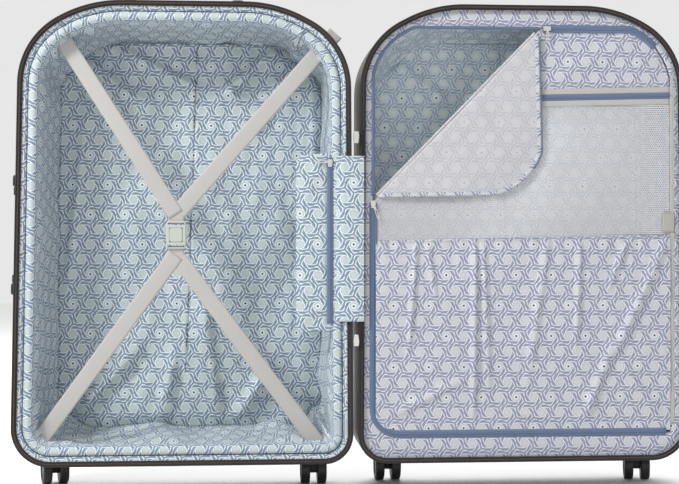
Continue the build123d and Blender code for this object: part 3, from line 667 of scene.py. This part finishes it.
def piping(name, side, path, d, r, material, body, closed=True):
    """Round cord along a path (u, z) at depth d."""
    p = resample(path, 3, closed)
    t = (np.roll(p, -1, 0) - np.roll(p, 1, 0)) if closed else np.gradient(p, axis=0)
    t /= np.linalg.norm(t, axis=1, keepdims=True)
    nrm = np.stack([-t[:, 1], t[:, 0]], -1)
    a = np.linspace(0, 2 * np.pi, 9)[:-1]
    rows = [at_many(side, p[:, 0] + nrm[:, 0] * r * math.cos(k), d + r * math.sin(k),
                    p[:, 1] + nrm[:, 1] * r * math.cos(k))
            for k in (*a, a[0])]
    s = np.concatenate([[0], np.cumsum(np.linalg.norm(np.diff(p, axis=0), axis=1))])
    pat = np.stack(np.broadcast_arrays(s[:, None] * MM, np.arange(9)[None] * r * 0.7 * MM), -1)
    ob = sheet_mesh(name, np.stack(rows, 1), pat, closed)
    return finish_piece(ob, material, body)


SEAM = cloth_mat("seam_cord", (0.07, 0.09, 0.13), 1.5, 0.7, 0.9, 0.2)
BACK_D = 127
seam_z = np.linspace(110, 705, 90)
seam_path = np.stack([spine_u(256, seam_z), seam_z], -1)
finish_piece(coil("rear_seam_zip", seam_path, BACK_D - 9.6, REAR, width=1.8, pitch=8, height=1.2,
                  keep=lambda p: np.sin(p[:, 1] / 9.0) + np.sin(p[:, 1] / 31.0) > 0.2), DARK_COIL, "rear_half")
piping("rear_lining_seam", REAR, RIM + inward(RIM) * 16.4, 8.6, 1.0, SEAM, "rear_half")


# ---- zips inside, straps, stitches ----
def ribbon(name, side, centre, width, t, material, body, replaces=(), crown=0.0, step=5):
    """Flat webbing along a list of (u, d, z), lying parallel to the rim."""
    c = np.array(centre, float)
    s = np.concatenate([[0], np.cumsum(np.linalg.norm(np.diff(c, axis=0), axis=1))])
    n = max(8, int(s[-1] / step))
    g = np.linspace(0, s[-1], n + 1)
    p = np.stack([np.interp(g, s, c[:, k]) for k in range(3)], -1)
    tan = np.gradient(p[:, [0, 2]], axis=0)
    tan /= np.maximum(np.linalg.norm(tan, axis=1, keepdims=True), 1e-9)
    across = np.linspace(-0.5, 0.5, 9) * width
    u = p[:, 0:1] - tan[:, 1:2] * across
    z = p[:, 2:3] + tan[:, 0:1] * across
    d = p[:, 1:2] + crown * (2 * across / width) ** 2 + 0.0 * g[:, None]
    pat = np.stack(np.broadcast_arrays(g[:, None] * MM, across[None] * MM), -1)
    ob = sheet_mesh(name, at_many(side, u, d, z), pat, False, side == REAR)
    thicken(ob, t)
    return finish_piece(ob, material, body, replaces)


def stitches(name, side, path, d, body, material=None, pitch=3.0, closed=False):
    ob = coil(name, np.array(path, float), d, side, width=0.7, pitch=pitch, height=0.6, closed=closed)
    return finish_piece(ob, material or THREAD, body)


BUCKLE_LO, BUCKLE_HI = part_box("buckle_body")
BU, BZ = (HX - (BUCKLE_LO.x + BUCKLE_HI.x) / 2 - GAP) / MM, (BUCKLE_LO.z + BUCKLE_HI.z) / 2 / MM
BD = ((BUCKLE_LO.y + BUCKLE_HI.y) / 2 - RIM_Y) / MM
for level, ends, s in (("upper", [(450, 703), (40, 702)], 1), ("lower", [(484, 84), (62, 82)], -1)):
    tip = (BU, BD, BZ + s * 31)
    for i, (u, z) in enumerate(ends):
        tuck = 1.06                                        # the end runs on under the padded edge
        u, z = tip[0] + (u - tip[0]) * tuck, tip[2] + (z - tip[2]) * tuck
        away = np.array([u, z]) - np.array([tip[0], tip[2]])
        q = np.array([tip[0], tip[2]])
        line = [(q[0] + away[0] * t, BD - 0.6 * (1 - i) + 9 * t ** 2.5 - 2.4 * math.sin(t * math.pi),
                 q[1] + away[1] * t)
                for t in np.linspace(0, 1.0, 24)]
        ribbon(f"strap_{level}_{'outer' if i == 0 else 'inner'}", REAR, line, 25, 1.3, WEB, "rear_half",
               [f"straps_{level}"] if i == 0 else (), 0.4)
    ribbon(f"strap_{level}_tab", REAR, [(BU, BD, BZ + s * k) for k in (17, 24, 38)], 25, 1.5, WEB, "rear_half",
           (), 0.2)


def cloth_grid(name, side, u, lo, hi, depth, t, n=60, pat=None, flip=None):
    """Cloth between two edges lo(u) and hi(u), at a depth that is a function of (..., 2) points."""
    w = np.linspace(0, 1, n)
    z = lo[:, None] + (hi - lo)[:, None] * w[None]
    q = np.stack([np.repeat(u[:, None], n, 1), z], -1)
    ob = sheet_mesh(name, at_many(side, q[..., 0], depth(q), q[..., 1]), q * MM if pat is None else pat(q) * MM,
                    False, (side == REAR) if flip is None else flip)
    return thicken(ob, t)


# ---- flat pocket beside the hinge, its zip and the fabric hinge ----
PK_LO, PK_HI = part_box("hinge_pocket")
PU = [(HX - x - GAP) / MM for x in (PK_HI.x, PK_LO.x)]
PZ = [PK_LO.z / MM, PK_HI.z / MM]
ZIP_U = (HX - (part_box("hinge_pocket_zip")[0].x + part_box("hinge_pocket_zip")[1].x) / 2 - GAP) / MM
pu = np.linspace(PU[0], PU[1], 50)
edge_round = lambda u: 5 * (1 - smooth((u - PU[0]) / 7)) + 9 * (1 - smooth((PU[1] - u) / 12))


def pocket_depth(q):
    u, z = q[..., 0], q[..., 1]
    inside = smooth((u - PU[0]) / 12) * smooth((PU[1] - u) / 14)
    inside = inside * smooth((z - PZ[0]) / 16) * smooth((PZ[1] - z) / 16)
    folds = (crease(q, (20, 300), (85, 268), 7, 1.8) + crease(q, (50, 520), (80, 440), 8, 1.6)
             + crease(q, (44, 400), (88, 360), 10, 1.4) + 1.1 * waves(q, 90, 77, 4))
    at_zip = np.exp(-((u - ZIP_U) / 6) ** 2)
    return 9.6 - inside * (2.4 + folds * (1 - at_zip)) + at_zip * 0.6 * inside


pocket = cloth_grid("hinge_pocket_cloth", REAR, pu, PZ[0] + edge_round(pu) + 3 * np.sin((pu - PU[0]) / 24),
                    PZ[1] - edge_round(pu) - 4 * smooth((pu - 20) / 70), pocket_depth, 0.9, 120)
finish_piece(pocket, COOL, "rear_half", ["hinge_pocket"])
sizes = cad_size("hinge_pocket")
cloth(sizes[0], sizes[2])
zip_line = lambda z0, z1, u: np.stack([np.full(60, float(u)), np.linspace(z0, z1, 60)], -1)
zt = tape("hinge_pocket_zip_tape", zip_line(262, 520, ZIP_U), 10, 5.9, REAR, 0.8, False)
finish_piece(zt, BLUE, "rear_half", ["hinge_pocket_zip"])
finish_piece(coil("hinge_pocket_zip_coil", zip_line(262, 520, ZIP_U), 5.5, REAR, 3.6, 1.8, 1.3), BLUE_COIL,
             "rear_half")
for k, e in enumerate((-7.5, 7.5)):
    stitches(f"hinge_pocket_stitch_{k + 1}", REAR, zip_line(256, 522, ZIP_U + e), 6.9, "rear_half")

LEAF_LO, LEAF_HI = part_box("hinge_strip_rear")[0].z / MM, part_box("hinge_strip_rear")[1].z / MM
hu = np.linspace(-GAP / MM * 2 - 9, 29, 46)       # front leaf is at negative u of the rear half


def leaf_depth(q):
    u, z = q[..., 0], q[..., 1]
    over = np.exp(-((u + GAP / MM) / 7) ** 2)
    return 0.5 - 0.75 * over + 4.6 * smooth((u - 14) / 15) + 0.35 * waves(q, 40, 9) * (1 - over)


leaf = cloth_grid("hinge_fabric", REAR, hu, np.full(46, LEAF_LO) + 3, np.full(46, LEAF_HI) - 3,
                  leaf_depth, 0.8, 90)
leaf.data.materials.append(COOL)
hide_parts("hinge_strip_rear", "hinge_strip_front")
sizes = cad_size("hinge_strip_rear", "hinge_strip_front")
cloth(sizes[0], sizes[2])
tuple(at(REAR, 1.5, -0.4, 400))
tuple(at(FRONT, 1.5, -0.4, 400))
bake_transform(leaf)

# ---- zipped divider of the front half ----
FD = (FOLD["pos_m"][1] - RIM_Y) / MM                       # depth of the fold axis
PANEL_D = FD + 2.6
FA = np.array([26.0, 459.0])
FB = np.array([283.0, 722.0])
FT = (FB - FA) / np.linalg.norm(FB - FA)
FN = np.array([FT[1], -FT[0]])                             # towards the lower right
A_U, A_Z, A_R, A_IN = (24.0, 510.0), (88.0, 726.0), 40.0, 18.0


def area_path():
    """Line of the divider's zip: the rim's outline 18 mm in, cut to a rectangle with one rounder corner."""
    p = resample(RIM + inward(RIM) * A_IN, 1.0)
    p = np.stack([np.clip(p[:, 0], *A_U), np.clip(p[:, 1], *A_Z)], -1)
    c = np.array([A_U[0] + A_R, A_Z[0] + A_R])
    q = p - c
    r = np.linalg.norm(q, axis=1)
    low = (q[:, 0] < 0) & (q[:, 1] < 0)
    p[low] = c + q[low] / np.maximum(r[low], 1e-6)[:, None] * A_R
    keep = np.linalg.norm(np.roll(p, -1, 0) - p, axis=1) > 1e-3
    p = resample(p[keep], 3.0)
    for _ in range(3):                                     # eases the corners that the rectangle left sharp
        p = (np.roll(p, 1, 0) + 2 * p + np.roll(p, -1, 0)) / 4
    return np.roll(p, -int(np.argmax(p[:, 0] - abs(p[:, 1] - 300) * 0.01)), 0)


AREA = area_path()
A_IN_N = inward(AREA)


def crossing(path, p, c):
    """Where lines from points p to inner points c cross a convex path."""
    a, n = path, inward(path)
    down = (c - p) @ n.T
    gap = np.einsum("ij,kij->ki", n, a[None] - p[:, None])
    t = np.where(down > 1e-9, gap / np.maximum(down, 1e-9), -1e9).max(1)
    return p + (c - p) * np.clip(t, 0, 1)[:, None]


def above_fold(p):
    return -(p - FA) @ FN


# border between the rim and the divider's zip
core = np.stack([np.clip(RIM[:, 0], 150, 380), np.clip(RIM[:, 1], 210, 600)], -1)
outer = RIM + inward(RIM) * 5.6
inner = crossing(AREA + A_IN_N * -1.0, outer, core)
inner[:, 0] = np.minimum(inner[:, 0], 499)
w = np.linspace(0, 1, 9)
q = outer[:, None] + (inner - outer)[:, None] * w[None, :, None]
d = PANEL_D + 0.4 - 1.6 * np.sin(np.pi * w)[None] - 0.6 * waves(q, 60, 5, 4) * np.sin(np.pi * w)[None]
border = sheet_mesh("divider_border_cloth", at_many(FRONT, q[..., 0], d, q[..., 1]), q * MM, True, True)
thicken(border, 0.9)
finish_piece(border, WARM, "front_half", ["divider_border"])
sizes = cad_size("divider_border")
CORNERS, OPEN_RUN = 0.15, 0.52      # what the rounding and the open corner take off its run
cloth(0.03, 2 * (sizes[0] + sizes[2]) - CORNERS - OPEN_RUN)

# its zip: tape and coil round the closed part, the bare tape round the open corner
side_of = above_fold(AREA)
closed_low = ((AREA[:, 0] < 60) | (AREA[:, 1] < 140)) & (side_of < -3) & (AREA[:, 0] < 494)
closed_top = (AREA[:, 1] > 690) & (side_of < -3) & (AREA[:, 0] < 474)
opened = side_of > 2


def in_order(mask):
    """The masked stretch of the zip's line, as one run."""
    k = np.flatnonzero(mask)
    gaps = np.flatnonzero(np.diff(k) > 1)
    if len(gaps):
        k = np.concatenate([k[gaps[-1] + 1:], k[:gaps[-1] + 1]])
    return AREA[k]


runs = {"low": in_order(closed_low), "top": in_order(closed_top)}
for run, path in runs.items():
    t1 = tape(f"divider_zip_tape_{run}", path, 12, PANEL_D - 1.1, FRONT, 0.9, False)
    finish_piece(t1, BLUE, "front_half", ["divider_zip"] if run == "low" else ())
    finish_piece(coil(f"divider_zip_coil_{run}", path, PANEL_D - 1.6, FRONT, 3.6, 1.8, 1.4), BLUE_COIL,
                 "front_half")
open_run = in_order(opened)
t2 = tape("divider_zip_tape_open", open_run, 5, PANEL_D - 1.1, FRONT, 0.8, False)
finish_piece(t2, BLUE, "front_half")
finish_piece(coil("divider_zip_coil_open", open_run, PANEL_D - 1.5, FRONT, 1.9, 1.8, 1.2), BLUE_COIL,
             "front_half")


def panel_edges(u, inset):
    """Lowest and highest z of the divider at each u, inside its zip by an inset and below the fold."""
    loop = AREA + A_IN_N * inset
    lowest, highest = np.zeros(len(u)), np.zeros(len(u))
    for k, x in enumerate(u):
        a, b = loop, np.roll(loop, -1, 0)
        hit = (a[:, 0] - x) * (b[:, 0] - x) <= 0
        step = (b - a)[hit]
        z = a[hit, 1] + (x - a[hit, 0]) / np.where(abs(step[:, 0]) < 1e-9, 1, step[:, 0]) * step[:, 1]
        lowest[k], highest[k] = (z.min(), z.max()) if len(z) else (300, 300)
    fold = FA[1] + (u - FA[0]) * FT[1] / FT[0] - 3.0
    return lowest, np.minimum(highest, fold)


def mesh_zip_z(u):
    return 614 + 8 * (u - 188) / 310


PANEL_U = (28.0, 499.0)
MESH_FOOT = 398


def foot_z(u):
    return MESH_FOOT - 7 + 10 * (u - PANEL_U[0]) / (PANEL_U[1] - PANEL_U[0])


# top panel
tu = np.linspace(190, PANEL_U[1], 120)
_, hi0 = panel_edges(tu, 1.0)
lo1 = np.minimum(mesh_zip_z(tu) + 6, hi0 - 0.5)
top = cloth_grid("divider_top_cloth", FRONT, tu, lo1, hi0,
                 lambda p: (PANEL_D + 0.6 - 0.9 * waves(p, 90, 31, 4)
                            - crease(p, (300, 640), (420, 700), 12, 2.0)), 0.9, 40)
finish_piece(top, WARM, "front_half", ["divider_top_panel"])
sizes = cad_size("divider_top_panel")
cloth(sizes[0], sizes[2], 0.85)

# gathered pocket
gu = np.linspace(*PANEL_U, 330)
lo2, _ = panel_edges(gu, 2.0)


def gathered_depth(p):
    u, z = p[..., 0], p[..., 1]
    top_z, low_z = foot_z(u), 94.0
    v = np.clip((top_z - z) / (top_z - low_z), 0, 1)
    belly = np.sin(np.pi * np.clip(v, 0, 1) ** 0.8) ** 0.8
    folds = (crease(p, (184, 396), (182, 130), 4.5, 8.0) + crease(p, (196, 396), (206, 170), 5, 5.5)
             + crease(p, (92, 396), (80, 230), 4, 5.5) + crease(p, (108, 392), (122, 300), 5, 4.0)
             + crease(p, (486, 380), (403, 205), 7, 7.5) + crease(p, (403, 230), (361, 112), 7, 6.5)
             + crease(p, (352, 396), (346, 240), 4.5, 6.0) + crease(p, (430, 394), (400, 320), 5, 5.0)
             + crease(p, (300, 392), (270, 180), 7, 4.5) + crease(p, (60, 120), (160, 170), 8, 4.0)
             + crease(p, (250, 120), (330, 100), 6, 3.5) + crease(p, (480, 120), (420, 190), 7, 4.5))
    gather = 1.3 * np.sin(u / 3.4 + 2 * np.sin(u / 37)) * np.exp(-v * 9) * (0.5 + 0.5 * np.sin(u / 21))
    return PANEL_D - 1.0 - (belly * 2.2 + folds * smooth(v / 0.06) * smooth((1 - v) / 0.1)
                            + gather + 1.5 * belly * waves(p, 130, 52, 4))


gath = cloth_grid("gathered_pocket_cloth", FRONT, gu, lo2, foot_z(gu), gathered_depth, 0.9, 200)
finish_piece(gath, WARM, "front_half", ["gathered_pocket"])
sizes, FULLNESS = cad_size("gathered_pocket"), 1.15
cloth(sizes[0] * FULLNESS, sizes[2])
hem_line = np.stack([gu[::3], foot_z(gu[::3]) - 3.5], -1)
stitches("gathered_pocket_stitch", FRONT, hem_line, PANEL_D - 2.4, "front_half")


# mesh as a real net of hexagonal holes
def net(name, pitch, hole, body):
    nu, nz = int((PANEL_U[1] - PANEL_U[0]) / pitch) + 1, int(300 / (pitch * 0.866)) + 1
    i, j = np.meshgrid(np.arange(nu), np.arange(nz), indexing="ij")
    c = np.stack([PANEL_U[0] + pitch * (i + 0.5 * (j % 2)), 380 + pitch * 0.866 * j], -1).reshape(-1, 2)
    on_fold = FA[1] + (c[:, 0] - FA[0]) * FT[1] / FT[0]
    low, high = foot_z(c[:, 0]) - 5, np.minimum(mesh_zip_z(c[:, 0]) - 6, on_fold - 4)
    c = c[(c[:, 1] > low) & (c[:, 1] < high) & (c[:, 0] < PANEL_U[1] - 1)]
    a = np.arange(6) * np.pi / 3 + np.pi / 6
    ringed = np.stack([np.cos(a), np.sin(a)], -1)
    out = c[:, None] + ringed[None] * pitch / math.sqrt(3)
    inn = c[:, None] + ringed[None] * hole
    v = np.concatenate([out, inn], 1)
    flat2 = v.reshape(-1, 2)
    key = np.round(flat2 / (pitch / 40)).astype(int)
    _, first, inverse = np.unique(key, axis=0, return_index=True, return_inverse=True)
    inverse = inverse.ravel()
    base = (np.arange(len(c)) * 12)[:, None]
    quads = np.concatenate([base + np.array([[k, (k + 1) % 6, 6 + (k + 1) % 6, 6 + k]]) for k in range(6)])
    q = flat2[first]
    depth = PANEL_D + 0.5 - 1.3 * waves(q, 150, 61, 4) + crease(q, (60, 430), (300, 520), 30, 2.0)
    ob = make(name, at_many(FRONT, q[:, 0], depth, q[:, 1]), inverse[quads], q * MM, False)
    thicken(ob, 0.7)
    return finish_piece(ob, MESH, body, ["mesh_panel"])


NET_PITCH, NET_HOLE = 3.5, 1.22
net_ob = net("divider_net", NET_PITCH, NET_HOLE, "front_half")
yarn = 1 - 3 * (NET_HOLE / NET_PITCH) ** 2                  # share of a net of hexagons that is yarn
cloth(0.471, 0.219, yarn * 0.88)

# zip over the mesh, bindings and a blank label
mz = np.stack([np.linspace(183, PANEL_U[1], 90), mesh_zip_z(np.linspace(183, PANEL_U[1], 90))], -1)
t3 = tape("mesh_zip_tape", mz, 10, PANEL_D - 0.5, FRONT, 0.8, False)
finish_piece(t3, BLUE, "front_half", ["mesh_zip"])
finish_piece(coil("mesh_zip_coil", mz, PANEL_D - 0.9, FRONT, 3.4, 1.8, 1.3), BLUE_COIL, "front_half")
for k, (u0, lift) in enumerate(((193, 9.4), (174, -9.6))):
    line = [(u, PANEL_D - 0.6, mesh_zip_z(u) + lift) for u in np.linspace(u0, PANEL_U[1], 60)]
    ribbon(f"divider_binding_{k + 1}", FRONT, line, 9, 1.0, BIND, "front_half",
           ["divider_binding"] if k == 0 else (), 0.3)
ribbon("divider_binding_side", FRONT, [(502.2, PANEL_D - 1.2, z) for z in np.linspace(100, 655, 60)],
       8, 1.0, BIND, "front_half", (), 0.3)
LABEL = cloth_mat("label_cloth", (0.40, 0.39, 0.36), 1.1, 0.85, 0.85, 0.05, 0.3)
ribbon("blank_label", FRONT, [(496, PANEL_D - 2.1, z) for z in np.linspace(404, 437, 12)],
       20, 0.7, LABEL, "front_half", (), 0.2)
for k, e in enumerate((-5, 5)):
    height = 420.5 + e * 2.9
    stitches(f"label_stitch_{k + 1}", FRONT, [(488, height), (504, height)], PANEL_D - 2.6, "front_half")

# ---- folded-back corner ----
FOLD_W, FOLD_H = abs(FB[0] - FA[0]) * MM, abs(FB[1] - FA[1]) * MM
ft = np.linspace(0.012, 0.988, 110)
on_line = FA + (FB - FA) * ft[:, None]
core_up = on_line - FN * 400
edge_up = crossing(AREA + A_IN_N * 1.0, core_up, on_line + FN * 40)
reach = np.linalg.norm(edge_up - on_line, axis=1)
fw = np.linspace(0, 1, 60) ** 0.8
q = on_line[:, None] + FN * (reach[:, None] * fw[None])[..., None]
away = reach[:, None] * fw[None]
lift = 3.2 * np.exp(-(away / 7) ** 2) - 1.2
flap_d = FD - 2.0 + 2.4 * np.exp(-(away / 2.2) ** 2) \
    - 2.0 * np.sin(np.pi * np.clip(away / 160, 0, 1)) * (0.6 + 0.4 * waves(q, 140, 71, 3)) \
    - 1.2 * crease(q, (250, 480), (180, 600), 14, 1.0) - 0.8 * waves(q, 90, 72, 4) * smooth(away / 30)
flap = sheet_mesh("flap_cloth", at_many(FRONT, q[..., 0], flap_d, q[..., 1]), q * MM, False, False)
thicken(flap, 0.9)
finish_piece(flap, BACK, "divider_flap", ["divider_flap"])
cloth(FOLD_W, FOLD_H, 0.475)     # half a rectangle, less its rounded corner
roll_a = np.linspace(-0.25 * math.pi, 1.25 * math.pi, 16)
ROLL = 1.9                          # radius of the rolled fold's cloth, mm
rows = [at_many(FRONT, on_line[:, 0] - FN[0] * ROLL * math.sin(a), FD + ROLL * math.cos(a),
                on_line[:, 1] - FN[1] * ROLL * math.sin(a))
        for a in roll_a]
s = np.linalg.norm(on_line - FA, axis=1)
pat = np.stack(np.broadcast_arrays(s[:, None] * MM, roll_a[None] * ROLL * MM), -1)
roll = sheet_mesh("flap_roll", np.stack(rows, 1), pat)
thicken(roll, 0.5)
finish_piece(roll, BACK, "divider_flap")
rim_d = flap_d[:, -1]


def along_flap(name, inset, width, up, t, material, slot, part=slice(None)):
    """Trim along the flap's free edge."""
    c = on_line[part] + FN * (reach[part, None] - 0.0)
    tan = np.gradient(c, axis=0)
    tan /= np.linalg.norm(tan, axis=1, keepdims=True)
    nrm = np.stack([-tan[:, 1], tan[:, 0]], -1)
    across = np.linspace(inset, inset + width, 4)
    p = c[:, None] + nrm[:, None] * across[None, :, None]
    dd = np.repeat(rim_d[part, None], 4, 1) - up
    run = np.concatenate([[0], np.cumsum(np.linalg.norm(np.diff(c, axis=0), axis=1))])
    pat = np.stack(np.broadcast_arrays(run[:, None] * MM, across[None] * MM), -1)
    ob = sheet_mesh(name, at_many(FRONT, p[..., 0], dd, p[..., 1]), pat)
    thicken(ob, t)
    return finish_piece(ob, material, "divider_flap")


along_flap("flap_hem", 0.5, 6.0, 0.7, 0.6, WARM, "print_warm")
along_flap("flap_zip_tape", -2.2, 3.0, 0.3, 0.8, BLUE, "blue_zip", slice(62, None))

# ---- floor, light and camera ----
bpy.ops.mesh.primitive_plane_add(size=14, location=(0, 0, 0))
floor = bpy.context.object
floor.name = "floor"
fm, *_ = new_mat("floor_pale", (0.90, 0.90, 0.90), 0.6)
floor.data.materials.append(fm)

world = bpy.data.worlds.new("studio")
bpy.context.scene.world = world
world.use_nodes = True
world.node_tree.nodes["Background"].inputs[0].default_value = (1, 1, 1, 1)
world.node_tree.nodes["Background"].inputs[1].default_value = 0.80
bpy.context.scene.view_settings.view_transform = "Standard"


def area_light(name, loc, target, size, power):
    li = bpy.data.lights.new(name, "AREA")
    li.shape, li.size, li.energy = "DISK", size, power
    ob = bpy.data.objects.new(name, li)
    ob.location = loc
    ob.rotation_euler = (Vector(target) - Vector(loc)).to_track_quat("-Z", "Y").to_euler()
    bpy.context.scene.collection.objects.link(ob)


area_light("key", (-1.7, -1.3, 2.0), (0, 0, 0.4), 0.6, 56)
area_light("back", (0.4, 2.2, 2.4), (0, 1.0, 0), 2.0, 70)

cam_data = bpy.data.cameras.new("camera")
cam_data.lens, cam_data.sensor_width = 76.8, 36
camera = bpy.data.objects.new("camera", cam_data)
bpy.context.scene.collection.objects.link(camera)
bpy.context.scene.camera = camera
AIM = Vector((HX - 0.026, RIM_Y, 0.389))
YAW, DIST = math.radians(4.5), 2.253
camera.location = AIM + Vector((-math.sin(YAW), -math.cos(YAW), 0)) * DIST
camera.rotation_euler = (math.pi / 2, 0, -YAW)
